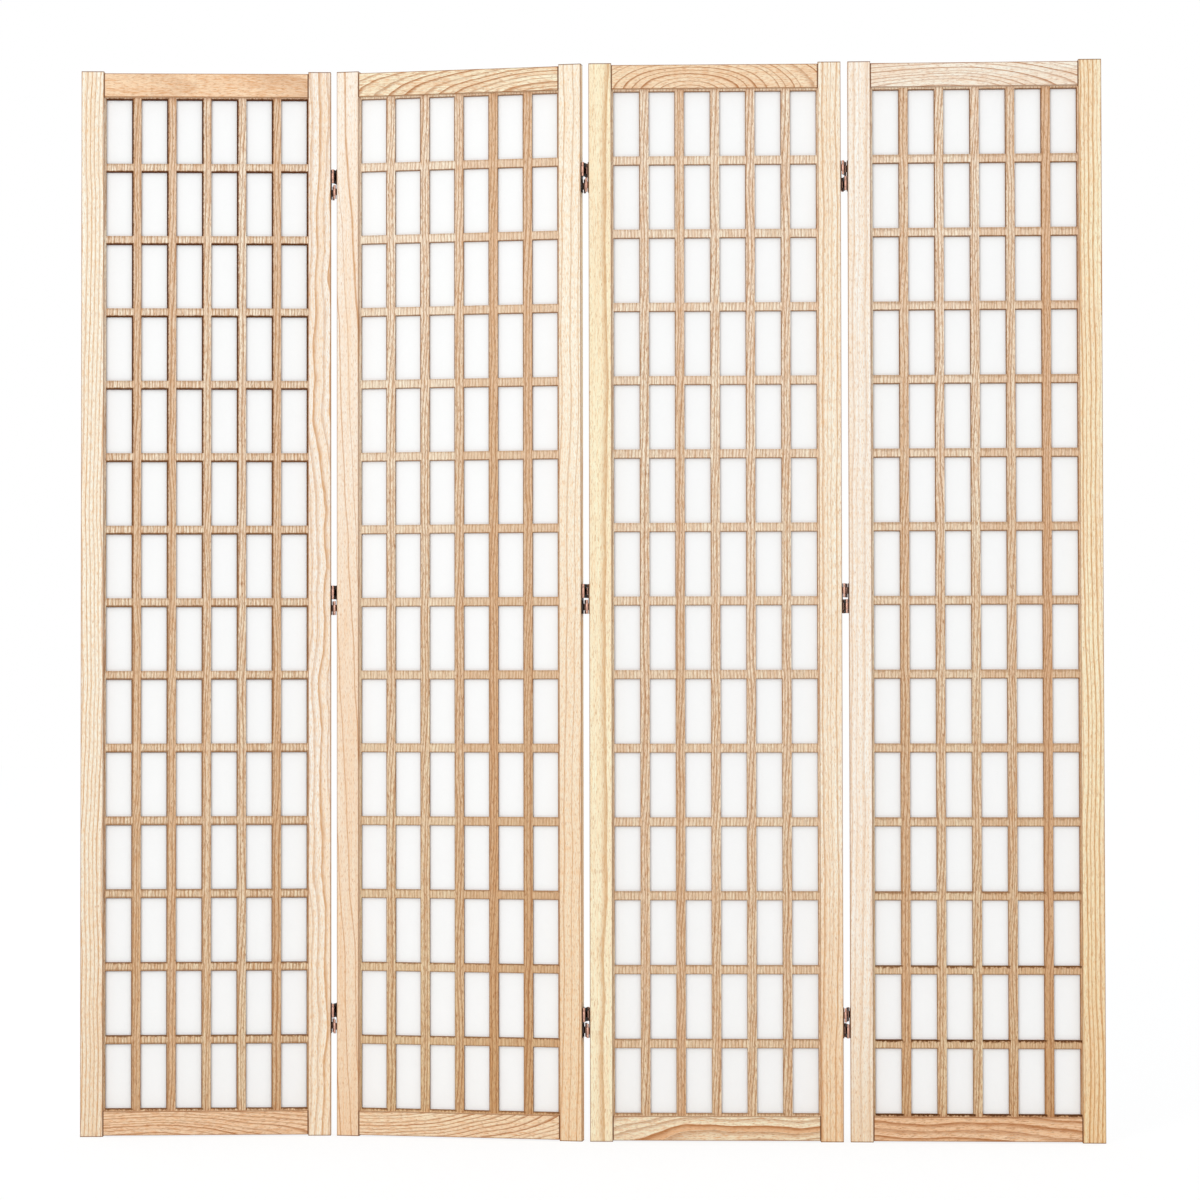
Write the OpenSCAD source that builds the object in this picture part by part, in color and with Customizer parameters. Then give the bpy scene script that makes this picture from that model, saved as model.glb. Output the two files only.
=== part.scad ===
// Four-panel folding screen: wooden frames with a cut grille over a paper sheet,
// joined by small two-way hinges with crossed links. Front is -Y, up is +Z.

/* [Panels] */
// Width of one panel
panel_w = 398; // [300:1:600]
// Height of the stiles
panel_h = 1700; // [1200:5:2100]
// Thickness of the frame
frame_t = 18; // [16:0.5:24]
// Width of a stile
stile_w = 36; // [28:0.5:60]
// Height of a top or bottom rail
rail_h = 38; // [36:0.5:70]
// Drop of the top rail below the ends of the stiles
top_drop = 3; // [0:0.5:10]
// Lift of the bottom rail above the floor
bottom_lift = 2; // [0:0.5:40]
// Rounding of the long edges of a stile
edge_r = 1.2; // [0.5:0.1:3]

/* [Grille] */
// Window columns in a panel
columns = 6; // [3:1:8]
// Window rows in a panel
rows = 14; // [6:1:18]
// Width of a grille upright
upright_w = 15; // [8:0.1:24]
// Height of a grille crossbar
crossbar_h = 14.2; // [8:0.1:24]
// Border of the grille that shows beside a stile
side_reveal = 3.1; // [1:0.1:12]
// Border of the grille that shows beside a rail
end_reveal = 4.3; // [1:0.1:12]
// Thickness of the grille board
grille_t = 4; // [3:0.1:5]
// Depth of the grille behind the front of the frame
grille_recess = 6.5; // [5:0.1:7]
// Thickness of the paper sheet
paper_t = 0.4; // [0.3:0.05:0.6]
// Depth to which the grille and the paper sit in the frame
seat_depth = 11; // [6:0.5:12]
// Free depth of the groove past the edge of the grille
seat_gap = 0.5; // [0.3:0.1:1]
// Play of the grille and the paper across the groove
groove_play = 0.2; // [0.1:0.05:0.5]

/* [Dowels] */
// Diameter of a dowel
dowel_d = 6; // [5:0.5:7]
// Length of a dowel
dowel_len = 30; // [20:1:40]
// Distance of a dowel from the outer edge of its rail, and from the groove
dowel_margin = 8; // [6:0.5:9]
// Play around a dowel
dowel_play = 0.05; // [0.02:0.01:0.1]
// Free depth past the end of a dowel
dowel_end_gap = 0.5; // [0.3:0.1:2]

/* [Fold] */
// Fold at the first gap, positive when the front faces turn together
fold_1 = 12.3; // [0:0.1:25]
// Fold at the second gap, negative when the back faces turn together
fold_2 = -8.8; // [-25:0.1:0]
// Fold at the third gap
fold_3 = 1.1; // [0:0.1:25]
// Turn of the first panel from the line of the screen
first_turn = 5.1; // [-20:0.1:20]

/* [Hinges] */
// Gap between two panels that lie flat
hinge_gap = 11; // [10:0.1:16]
// Distance of a pin from the edge of its stile
pin_out = 3.5; // [3.4:0.05:3.7]
// Diameter of a pin
pin_d = 2; // [1.6:0.1:2.2]
// Wall of a knuckle around its pin
knuckle_wall = 0.85; // [0.7:0.05:0.9]
// Play between a pin and its bore
pin_play = 0.04; // [0.02:0.01:0.08]
// Height of one half of a hinge
half_h = 22; // [18:0.5:30]
// Distance between the two halves of a hinge
half_gap = 3; // [1:0.5:6]
// Height of an eye at an end of a link
eye_h = 5.4; // [4:0.1:6]
// Play between an eye and the knuckle beside it
eye_play = 0.2; // [0.1:0.05:0.5]
// Cut of a leaf past the eye that turns in front of it
eye_cut = 1.5; // [1.2:0.1:2.5]
// Thickness of a link
link_t = 1.2; // [0.8:0.1:1.4]
// Width of the bridge in the middle of a link
bridge_w = 6; // [3:0.5:8]
// Thickness of a leaf
leaf_t = 1.2; // [0.8:0.1:1.3]
// Margin of a leaf from each face of the frame
leaf_margin = 0.8; // [0.4:0.1:1.5]
// Distance from the top of the screen to the middle of the upper hinge
hinge_drop = 180; // [60:1:400]
// Distance from the floor to the middle of the lower hinge
hinge_rise = 186; // [60:1:400]

/* [Screws] */
// Diameter of a screw's shank
screw_d = 2.4; // [2:0.1:2.8]
// Diameter of a screw's head
screw_head_d = 4.8; // [4:0.1:5]
// Length of a screw
screw_len = 14; // [8:0.5:18]
// Distance of a screw from the middle of a half, up and down
screw_spread = 6; // [4:0.1:7]
// Distance of a screw from the mid-plane, away from the knuckle
screw_offset = 2.5; // [1:0.1:4]
// Length of a screw's point
screw_point = 3; // [1:0.5:5]
// Play around a screw
screw_play = 0.05; // [0.02:0.01:0.1]
// Free depth of a pilot hole past its screw
screw_end_gap = 0.5; // [0.3:0.1:2]

/* [Hidden] */
$fn = 48;
wood = "#e3c193";
grille_wood = "#c8a071";
paper_white = "#f7f6f2";
bronze = "#7c5040";
bronze_dark = "#3d2a24";
dowel_wood = "#dcb985";

panel_count = 4;
gap_count = panel_count - 1;
folds = [fold_1, fold_2, fold_3];

front_y = -frame_t / 2;
grille_y = front_y + grille_recess;
groove_t = grille_t + paper_t + groove_play;

opening_w = panel_w - 2 * stile_w;
bottom_rail_z = bottom_lift;
top_rail_z = panel_h - top_drop - rail_h;
opening_z = bottom_rail_z + rail_h;
opening_h = top_rail_z - opening_z;
pitch_x = (opening_w - 2 * side_reveal + upright_w) / columns;
pitch_z = (opening_h - 2 * end_reveal + crossbar_h) / rows;
window_w = pitch_x - upright_w;
window_h = pitch_z - crossbar_h;
board_x = stile_w - seat_depth;
board_w = opening_w + 2 * seat_depth;
board_z = opening_z - seat_depth;
board_h = opening_h + 2 * seat_depth;
groove_depth = seat_depth + seat_gap;
rail_edge_r = edge_r / 2;

// How far a cut reaches past the face that it opens
cut_over = 1;

dowel_r = dowel_d / 2;
dowel_bore_r = dowel_r + dowel_play;
dowel_bore_len = dowel_len + 2 * dowel_end_gap;
dowel_zs = [
    bottom_rail_z + dowel_margin,
    opening_z - groove_depth - dowel_margin,
    top_rail_z + groove_depth + dowel_margin,
    top_rail_z + rail_h - dowel_margin
];

// A pin lies on each face plane, so that folded panels lie flat on each other
pin_y = frame_t / 2;
pin_r = pin_d / 2;
bore_r = pin_r + pin_play;
knuckle_r = bore_r + knuckle_wall;
pin_gap = hinge_gap - 2 * pin_out;
link_len = sqrt(frame_t * frame_t + pin_gap * pin_gap);
half_z = (half_h + half_gap) / 2;
knuckle_h = half_h - 2 * (eye_h + eye_play);
leaf_d = frame_t - 2 * leaf_margin;
notch_d = leaf_d / 2 - pin_y + knuckle_r + eye_cut;
hinge_zs = [
    hinge_rise,
    (hinge_rise + panel_h - hinge_drop) / 2,
    panel_h - hinge_drop
];
pilot_len = screw_len - leaf_t + screw_end_gap;

// Places of a leaf's screws on a left edge, away from the knuckle of each half
screw_places = [for (s = [-1, 1], u = [-1, 1])
    [0, -s * screw_offset, s * half_z + u * screw_spread]];

// Turns a point by an angle
function turned(p, a) = [p[0] * cos(a) - p[1] * sin(a), p[0] * sin(a) + p[1] * cos(a)];

// Distance between the two front pins of a gap at fold a, and between the two back pins
function front_reach(a) =
    sqrt(pow(frame_t * sin(a / 2), 2) + pin_gap * pin_gap) - frame_t * sin(a / 2);
function back_reach(a) = front_reach(a) + 2 * frame_t * sin(a / 2);

// Turn of panel i, counted from 0, and the place of its left edge before centring
function yaw(i) = i == 0 ? first_turn : yaw(i - 1) - folds[i - 1];
function chain(i) = i == 0 ? [0, 0] :
    chain(i - 1)
    + turned([panel_w + pin_out, -pin_y], yaw(i - 1))
    + turned([front_reach(folds[i - 1]), 0], yaw(i - 1) - folds[i - 1] / 2)
    - turned([-pin_out, -pin_y], yaw(i));

// Outermost round points of the plan: the stiles' corners and the knuckles
corner_pts = [for (i = [0:panel_count - 1], x = [edge_r, panel_w - edge_r], s = [-1, 1])
    chain(i) + turned([x, s * (pin_y - edge_r)], yaw(i))];
knuckle_pts = concat(
    [for (i = [0:gap_count - 1], s = [-1, 1])
        chain(i) + turned([panel_w + pin_out, s * pin_y], yaw(i))],
    [for (i = [1:gap_count], s = [-1, 1])
        chain(i) + turned([-pin_out, s * pin_y], yaw(i))]);
function low(k) = min(min([for (p = corner_pts) p[k] - edge_r]),
                      min([for (p = knuckle_pts) p[k] - knuckle_r]));
function high(k) = max(max([for (p = corner_pts) p[k] + edge_r]),
                       max([for (p = knuckle_pts) p[k] + knuckle_r]));
centre = [(low(0) + high(0)) / 2, (low(1) + high(1)) / 2];
function place(i) = chain(i) - centre;

function panel_nodes(i) = [for (s = ["left_stile", "right_stile", "top_rail", "bottom_rail",
    "dowels", "grille", "paper"]) str("panel_", i, "_", s)];
function hinge_nodes(i) = [for (s = ["left_leaves", "right_leaves", "left_screws",
    "right_screws", "left_pins", "right_pins", "upper_links", "lower_links"])
    str("hinge_", i, "_", s)];

// Puts a piece of panel i, counted from 1, in its place
module in_panel(i) {
    p = place(i - 1);
    translate([p[0], p[1], 0]) rotate([0, 0, yaw(i - 1)]) children();
}

// Rectangle from the origin with round corners, built from exact shapes
module round_rect(w, d, r) {
    union() {
        translate([r, 0]) square([w - 2 * r, d]);
        translate([0, r]) square([w, d - 2 * r]);
        for (x = [r, w - r], y = [r, d - r]) translate([x, y]) circle(r);
    }
}

// Bores of the dowels that cross the joint line at x
module dowel_bores(x) {
    for (z = dowel_zs)
        translate([x - dowel_bore_len / 2, 0, z]) rotate([0, 90, 0])
            cylinder(h = dowel_bore_len, r = dowel_bore_r);
}

// Stile of a panel, with pilot holes where it carries leaves
module stile(is_left, hinged) {
    joint_x = is_left ? stile_w : panel_w - stile_w;
    difference() {
        translate([is_left ? 0 : joint_x, front_y, 0])
            linear_extrude(panel_h) round_rect(stile_w, frame_t, edge_r);
        translate([is_left ? joint_x - groove_depth : joint_x - cut_over, grille_y, board_z - seat_gap])
            cube([groove_depth + cut_over, groove_t, board_h + 2 * seat_gap]);
        dowel_bores(joint_x);
        if (hinged) on_edge(is_left) at_screws() screw_pilot();
    }
}

// The first panel has no hinge on its left, the last one none on its right
module left_stile(i) {
    color(wood) in_panel(i) stile(true, i > 1);
}

module right_stile(i) {
    color(wood) in_panel(i) stile(false, i < panel_count);
}

// Rail between the stiles, from height z, with its groove on the side of the grille
module rail(z, groove_z) {
    difference() {
        translate([stile_w, 0, z]) rotate([90, 0, 90]) linear_extrude(opening_w)
            translate([front_y, 0]) round_rect(frame_t, rail_h, rail_edge_r);
        translate([stile_w - cut_over, grille_y, groove_z])
            cube([opening_w + 2 * cut_over, groove_t, groove_depth + cut_over]);
        dowel_bores(stile_w);
        dowel_bores(panel_w - stile_w);
    }
}

module top_rail(i) {
    color(wood) in_panel(i) rail(top_rail_z, top_rail_z - cut_over);
}

module bottom_rail(i) {
    color(wood) in_panel(i) rail(bottom_rail_z, opening_z - groove_depth);
}

// Eight dowels that hold the rails between the stiles
module dowels(i) {
    color(dowel_wood) in_panel(i)
        for (x = [stile_w, panel_w - stile_w], z = dowel_zs)
            translate([x - dowel_len / 2, 0, z]) rotate([0, 90, 0])
                cylinder(h = dowel_len, r = dowel_r);
}

// Grille: one thin board with the windows cut through it
module grille(i) {
    color(grille_wood) in_panel(i)
        translate([0, grille_y + grille_t, 0]) rotate([90, 0, 0])
            linear_extrude(grille_t) difference() {
                translate([board_x, board_z]) square([board_w, board_h]);
                for (c = [0:columns - 1], r = [0:rows - 1])
                    translate([stile_w + side_reveal + c * pitch_x,
                               opening_z + end_reveal + r * pitch_z])
                        square([window_w, window_h]);
            }
}

// Paper sheet glued to the back of the grille
module paper(i) {
    color(paper_white) in_panel(i)
        translate([board_x, grille_y + grille_t, board_z]) cube([board_w, paper_t, board_h]);
}

// Repeats a piece at the three heights of the hinges
module at_hinges() {
    for (z = hinge_zs) translate([0, 0, z]) children();
}

// Turns a piece made for a left edge to the right edge, which swaps front and back
module on_edge(is_left) {
    translate([is_left ? 0 : panel_w, 0, 0]) rotate([0, 0, is_left ? 0 : 180]) children();
}

module at_screws() {
    at_hinges() for (p = screw_places) translate(p) rotate([0, 90, 0]) children();
}

// Pilot hole of a screw in a stile
module screw_pilot() {
    translate([0, 0, -cut_over]) cylinder(h = pilot_len + cut_over, r = screw_d / 2 + screw_play);
}

// Countersunk screw, its head flush with the outside of the leaf
module screw() {
    translate([0, 0, -leaf_t]) {
        cylinder(h = leaf_t, r1 = screw_head_d / 2, r2 = screw_d / 2);
        cylinder(h = screw_len - screw_point, r = screw_d / 2);
        translate([0, 0, screw_len - screw_point])
            cylinder(h = screw_point, r1 = screw_d / 2, r2 = screw_d / 8);
    }
}

// Countersunk hole in a leaf
module screw_sink() {
    translate([0, 0, -leaf_t])
        cylinder(h = leaf_t, r1 = screw_head_d / 2 + screw_play, r2 = screw_d / 2 + screw_play);
    translate([0, 0, -leaf_t - cut_over])
        cylinder(h = leaf_t + 2 * cut_over, r = screw_d / 2 + screw_play);
}

// Half of a leaf on the plane x = 0, with its knuckle at the front and cuts for the link's eyes
module leaf_half() {
    difference() {
        union() {
            translate([-leaf_t, -leaf_d / 2, -half_h / 2]) cube([leaf_t, leaf_d, half_h]);
            translate([-pin_out, knuckle_r - pin_y - leaf_t, -knuckle_h / 2])
                cube([pin_out, leaf_t, knuckle_h]);
            translate([-pin_out, -pin_y, -knuckle_h / 2]) cylinder(h = knuckle_h, r = knuckle_r);
        }
        translate([-pin_out, -pin_y, -half_h / 2]) cylinder(h = half_h, r = bore_r);
        for (z = [knuckle_h / 2, -half_h / 2 - cut_over])
            translate([-leaf_t - cut_over, -leaf_d / 2 - cut_over, z])
                cube([leaf_t + 2 * cut_over, notch_d + cut_over, eye_h + eye_play + cut_over]);
    }
}

// Leaf for a left edge: knuckle at the back in the upper half, at the front in the lower half
module leaf() {
    difference() {
        union() {
            translate([0, 0, half_z]) mirror([0, 1, 0]) leaf_half();
            translate([0, 0, -half_z]) leaf_half();
            translate([-leaf_t, notch_d - leaf_d / 2, -half_gap / 2])
                cube([leaf_t, leaf_d - 2 * notch_d, half_gap]);
        }
        for (p = screw_places) translate(p) rotate([0, 90, 0]) screw_sink();
    }
}

// The leaves of gap i, on the panel to its left and on the panel to its right
module left_leaves(i) {
    color(bronze_dark) in_panel(i) on_edge(false) at_hinges() leaf();
}

module right_leaves(i) {
    color(bronze_dark) in_panel(i + 1) on_edge(true) at_hinges() leaf();
}

module left_screws(i) {
    color(bronze) in_panel(i) on_edge(false) at_screws() screw();
}

module right_screws(i) {
    color(bronze) in_panel(i + 1) on_edge(true) at_screws() screw();
}

// Gaps 1 and 3 close front to front, gap 2 back to back
function closes_back(i) = i == 2;

// Pins of a left edge, in the back knuckle above and the front knuckle below.
// A pin of the closing side stays inside its knuckle and leaves the link's eyes free.
module edge_pins(upper_open, lower_open) {
    at_hinges() {
        translate([-pin_out, pin_y, half_z])
            cylinder(h = upper_open ? knuckle_h : half_h, r = pin_r, center = true);
        translate([-pin_out, -pin_y, -half_z])
            cylinder(h = lower_open ? knuckle_h : half_h, r = pin_r, center = true);
    }
}

module left_pins(i) {
    color(bronze) in_panel(i) on_edge(false) edge_pins(!closes_back(i), closes_back(i));
}

module right_pins(i) {
    color(bronze) in_panel(i + 1) on_edge(true) edge_pins(closes_back(i), !closes_back(i));
}

// Link along +X from one pin to the other, with two eyes at each end and a bridge between
module link() {
    difference() {
        union() {
            for (z = [-half_h / 2, half_h / 2 - eye_h]) translate([0, 0, z]) {
                translate([0, -link_t / 2, 0]) cube([link_len, link_t, eye_h]);
                for (x = [0, link_len]) translate([x, 0, 0]) cylinder(h = eye_h, r = knuckle_r);
            }
            translate([(link_len - bridge_w) / 2, -link_t / 2, -half_h / 2])
                cube([bridge_w, link_t, half_h]);
        }
        for (x = [0, link_len]) translate([x, 0, -half_h / 2 - cut_over])
            cylinder(h = half_h + 2 * cut_over, r = bore_r);
    }
}

// Places of the pins of gap i: side 0 is the panel to its left, face -1 is the front
function pin_place(i, side, face) = side == 0
    ? place(i - 1) + turned([panel_w + pin_out, face * pin_y], yaw(i - 1))
    : place(i) + turned([-pin_out, face * pin_y], yaw(i));

// Links of gap i from the left panel's pin on one face to the right panel's on the other
module links(i, face, z) {
    from = pin_place(i, 0, face);
    to = pin_place(i, 1, -face);
    at_hinges() translate([from[0], from[1], z])
        rotate([0, 0, atan2(to[1] - from[1], to[0] - from[0])]) link();
}

module upper_links(i) {
    color(bronze) links(i, -1, half_z);
}

module lower_links(i) {
    color(bronze) links(i, 1, -half_z);
}

for (i = [1:panel_count]) {
    left_stile(i);
    right_stile(i);
    top_rail(i);
    bottom_rail(i);
    dowels(i);
    grille(i);
    paper(i);
}
for (i = [1:gap_count]) {
    left_leaves(i);
    right_leaves(i);
    left_screws(i);
    right_screws(i);
    left_pins(i);
    right_pins(i);
    upper_links(i);
    lower_links(i);
}
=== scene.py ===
# Folding screen: four wooden panels, each with a thin window grille over paper,
# joined by small two-way hinges. Lengths are in metres.
# In a panel's own space x runs from its left edge, y to its back and z up from the floor.
import math
from itertools import product

import bpy
import numpy as np
from mathutils import Matrix, Vector


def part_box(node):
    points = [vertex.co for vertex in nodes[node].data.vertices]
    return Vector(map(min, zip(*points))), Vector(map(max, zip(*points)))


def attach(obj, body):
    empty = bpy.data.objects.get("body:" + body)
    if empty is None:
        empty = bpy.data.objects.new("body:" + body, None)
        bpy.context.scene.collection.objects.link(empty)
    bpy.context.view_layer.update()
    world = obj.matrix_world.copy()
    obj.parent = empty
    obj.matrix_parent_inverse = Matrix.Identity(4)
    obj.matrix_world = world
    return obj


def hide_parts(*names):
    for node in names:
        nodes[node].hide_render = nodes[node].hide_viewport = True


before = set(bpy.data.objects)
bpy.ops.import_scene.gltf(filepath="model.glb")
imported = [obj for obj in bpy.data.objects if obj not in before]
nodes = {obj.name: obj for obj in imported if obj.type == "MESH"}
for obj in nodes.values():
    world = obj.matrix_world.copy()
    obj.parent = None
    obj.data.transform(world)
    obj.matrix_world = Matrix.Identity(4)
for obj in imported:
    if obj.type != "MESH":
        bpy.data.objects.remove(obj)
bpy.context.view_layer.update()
print("the CAD frame is loaded")

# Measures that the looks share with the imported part
screen = {
    "panels": 4,
    "panelWidth": 0.398,
    "panelHeight": 1.700,
    "thickness": 0.018,
    "stileWidth": 0.036,
    "railHeight": 0.038,
    "topRailZ": 1.659,
    "bottomRailZ": 0.002,
    "columns": 6,
    "rows": 14,
    "windowX": 0.0391,
    "windowZ": 0.0443,
    "pitchX": 0.0558,
    "pitchZ": 0.11604286,
    "windowWidth": 0.0408,
    "windowHeight": 0.10184286,
    "hingeHeights": (0.186, 0.853, 1.520),
}
panelNumbers = range(1, screen["panels"] + 1)
gapNumbers = range(1, screen["panels"])


# A panel's place: its left edge on the mid-plane and its turn, from the boxes of its stiles
def panelPlace(number):
    mids = []
    for side in ("left", "right"):
        low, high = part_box(f"panel_{number}_{side}_stile")
        mids.append((np.array(low) + np.array(high)) / 2)
    along = (mids[1] - mids[0])[:2]
    along = along / np.linalg.norm(along)
    corner = mids[0][:2] - along * screen["stileWidth"] / 2
    return {"x": corner[0], "y": corner[1], "yaw": math.atan2(along[1], along[0])}


places = {number: panelPlace(number) for number in panelNumbers}


# Turns points from a panel's own space into the row frame
def fromPanel(number, points):
    place = places[number]
    c, s = math.cos(place["yaw"]), math.sin(place["yaw"])
    x, y, z = points[..., 0], points[..., 1], points[..., 2]
    return np.stack((place["x"] + c * x - s * y, place["y"] + s * x + c * y, z), axis=-1)


# Makes an object from points and faces, with its origin at the row frame's
def newPiece(name, points, faces, smooth=True):
    mesh = bpy.data.meshes.new(name)
    mesh.from_pydata(points.tolist(), [], faces)
    mesh.polygons.foreach_set("use_smooth", np.full(len(mesh.polygons), smooth))
    mesh.update()
    piece = bpy.data.objects.new(name, mesh)
    bpy.context.scene.collection.objects.link(piece)
    return piece


# Four-cornered faces between the rows and columns of a grid of point numbers
def gridFaces(index):
    corners = (index[:-1, :-1], index[1:, :-1], index[1:, 1:], index[:-1, 1:])
    return np.stack(corners, axis=-1).reshape(-1, 4).tolist()


# Node helpers

# Sets a node's sockets by name or number and links the ones given as sockets
def fillSockets(tree, item, sockets):
    for key, value in sockets.items():
        if isinstance(value, bpy.types.NodeSocket):
            tree.links.new(value, item.inputs[key])
        else:
            item.inputs[key].default_value = value


# Adds a node, with its settings by name
def addNode(tree, kind, sockets=None, **settings):
    item = tree.nodes.new(kind)
    item.location = (220 * (len(tree.nodes) % 12), -260 * (len(tree.nodes) // 12))
    for name, value in settings.items():
        setattr(item, name, value)
    fillSockets(tree, item, sockets or {})
    return item


# Places a group with its sockets set or linked and returns its outputs
def placeGroup(tree, group, sockets):
    return addNode(tree, "ShaderNodeGroup", sockets, node_tree=group).outputs


def calc(tree, operation, a, b=0.0, c=0.0):
    return addNode(tree, "ShaderNodeMath", {0: a, 1: b, 2: c}, operation=operation).outputs[0]


def plus(tree, a, b):
    return calc(tree, "ADD", a, b)


def minus(tree, a, b):
    return calc(tree, "SUBTRACT", a, b)


def times(tree, a, b):
    return calc(tree, "MULTIPLY", a, b)


def smaller(tree, a, b):
    return calc(tree, "MINIMUM", a, b)


def larger(tree, a, b):
    return calc(tree, "MAXIMUM", a, b)


def vectorMath(tree, operation, a, b=(0, 0, 0)):
    return addNode(tree, "ShaderNodeVectorMath", {0: a, 1: b}, operation=operation).outputs


def vectorCalc(tree, operation, a, b=(0, 0, 0)):
    return vectorMath(tree, operation, a, b)[0]


def stretched(tree, vector, scale):
    return vectorCalc(tree, "MULTIPLY", vector, scale)


def splitVector(tree, vector):
    return addNode(tree, "ShaderNodeSeparateXYZ", {0: vector}).outputs


def coordinates(tree, kind):
    return addNode(tree, "ShaderNodeTexCoord").outputs[kind]


def blendColor(tree, factor, a, b, mode="MIX"):
    item = addNode(tree, "ShaderNodeMix", {0: factor, 6: a, 7: b}, data_type="RGBA", blend_type=mode)
    return item.outputs[2]


# Lays a tint over a color where a mask is high
def coat(tree, color, mask, strength, tint):
    return blendColor(tree, times(tree, mask, strength), color, tint)


def ramp(tree, value, low, high, start=0.0, end=1.0, smooth=True):
    kind = "SMOOTHSTEP" if smooth else "LINEAR"
    sockets = {"Value": value, "From Min": low, "From Max": high, "To Min": start, "To Max": end}
    return addNode(tree, "ShaderNodeMapRange", sockets, interpolation_type=kind, clamp=True).outputs[0]


def noise(tree, vector, scale, detail=2.0, rough=0.5):
    sockets = {"Vector": vector, "Scale": scale, "Detail": detail, "Roughness": rough}
    return addNode(tree, "ShaderNodeTexNoise", sockets).outputs[0]


# Noise whose scale differs by axis: a small last number draws it out along z
def stretchedNoise(tree, vector, scales, detail=2.0, rough=0.5):
    return noise(tree, stretched(tree, vector, scales), 1.0, detail, rough)


def lineNoise(tree, along, scale, detail):
    sockets = {"W": along, "Scale": scale, "Detail": detail}
    return addNode(tree, "ShaderNodeTexNoise", sockets, noise_dimensions="1D").outputs[0]


# Starts a node group that takes vectors and numbers and gives numbers
def startGroup(name, vectors, numbers, results):
    group = bpy.data.node_groups.new(name, "ShaderNodeTree")
    for titles, way, kind in (
            (vectors, "INPUT", "Vector"), (numbers, "INPUT", "Float"), (results, "OUTPUT", "Float")):
        for title in titles:
            group.interface.new_socket(title, in_out=way, socket_type="NodeSocket" + kind)
    return group, group.nodes.new("NodeGroupInput").outputs, group.nodes.new("NodeGroupOutput").inputs


# Starts a material with its Principled shader and its output
def startMaterial(name):
    material = bpy.data.materials.new(name)
    material.use_nodes = True
    tree = material.node_tree
    tree.nodes.clear()
    shader = tree.nodes.new("ShaderNodeBsdfPrincipled")
    ending = tree.nodes.new("ShaderNodeOutputMaterial")
    tree.links.new(shader.outputs[0], ending.inputs[0])
    return material, tree, shader


# Gives a shader its bump and its other sockets
def finishShader(tree, shader, bump, sockets):
    normal = addNode(tree, "ShaderNodeBump", bump).outputs[0]
    fillSockets(tree, shader, {**sockets, "Normal": normal})


# Shared effects

# Scales are how often a noise changes in a metre, and in unevenScale in a ring
ringLook = {
    "driftScale": 3.1,
    "driftShare": 3.0,
    "rippleScales": (30, 30, 9),
    "unevenScale": 0.37,
    "unevenShare": 1.3,
    "crest": 0.92,
    "breakScales": (900, 900, 70),
    "breakValues": (0.3, 0.55),
    "wornShare": 0.6,
}


# Growth rings: circles round a leaning heart line, made uneven and wavy along the trunk.
# Late Wood rises over the last part of each ring (from Line Start) and falls off sharply, and is
# worn thin in places; Ring Tone is one value a ring.
def makeGrowthRings():
    look = ringLook
    numbers = ("Heart X", "Heart Y", "Lean X", "Lean Y", "Ring Width", "Wander", "Seed", "Line Start")
    group, given, out = startGroup("growthRings", ["Vector"], numbers, ["Late Wood", "Ring Tone"])
    x, y, z = splitVector(group, given["Vector"])
    drift = lineNoise(group, plus(group, z, times(group, given["Seed"], 3.7)), look["driftScale"], 2.0)
    drift = times(group, minus(group, drift, 0.5), times(group, given["Wander"], look["driftShare"]))
    shifted = vectorCalc(group, "ADD", given["Vector"], given["Seed"])
    ripple = stretchedNoise(group, shifted, look["rippleScales"])
    ripple = times(group, minus(group, ripple, 0.5), given["Wander"])
    heartX = calc(group, "MULTIPLY_ADD", z, given["Lean X"], given["Heart X"])
    heartY = calc(group, "MULTIPLY_ADD", z, given["Lean Y"], given["Heart Y"])
    dx = plus(group, minus(group, x, heartX), drift)
    dy = minus(group, y, heartY)
    far = calc(group, "SQRT", plus(group, times(group, dx, dx), times(group, dy, dy)))
    turns = calc(group, "DIVIDE", plus(group, far, ripple), given["Ring Width"])
    uneven = plus(group, times(group, turns, look["unevenScale"]), given["Seed"])
    uneven = lineNoise(group, uneven, 1.0, 1.0)
    turns = calc(group, "MULTIPLY_ADD", uneven, look["unevenShare"], turns)
    inRing = calc(group, "FRACT", turns)
    rise = ramp(group, inRing, given["Line Start"], look["crest"])
    fall = ramp(group, inRing, look["crest"] + 0.01, 1.0, 1.0, 0.0)
    broken = stretchedNoise(group, shifted, look["breakScales"])
    worn = ramp(group, broken, *look["breakValues"], look["wornShare"], 1.0)
    ringSeed = plus(group, calc(group, "FLOOR", turns), given["Seed"])
    tone = addNode(group, "ShaderNodeTexWhiteNoise", {"W": ringSeed}, noise_dimensions="1D").outputs[0]
    line = times(group, times(group, rise, fall), worn)
    group.links.new(line, out["Late Wood"])
    group.links.new(tone, out["Ring Tone"])
    return group


# Each layer: the scales and the detail of its noise, and the values between which its mask rises
grainLayers = {
    "Fibres": {"scales": (2300, 2300, 75), "detail": 3.0, "values": (0.34, 0.66)},
    "Streaks": {"scales": (640, 640, 85), "detail": 2.0, "values": (0.42, 0.66)},
    "Pores": {"scales": (1500, 1500, 130), "detail": 1.0, "values": (0.56, 0.68)},
    "Bands": {"scales": (420, 420, 6), "detail": 2.0, "values": (0.44, 0.64)},
    "Mottle": {"scales": (34, 34, 3.2), "detail": 2.0, "values": (0.3, 0.7)},
}


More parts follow.
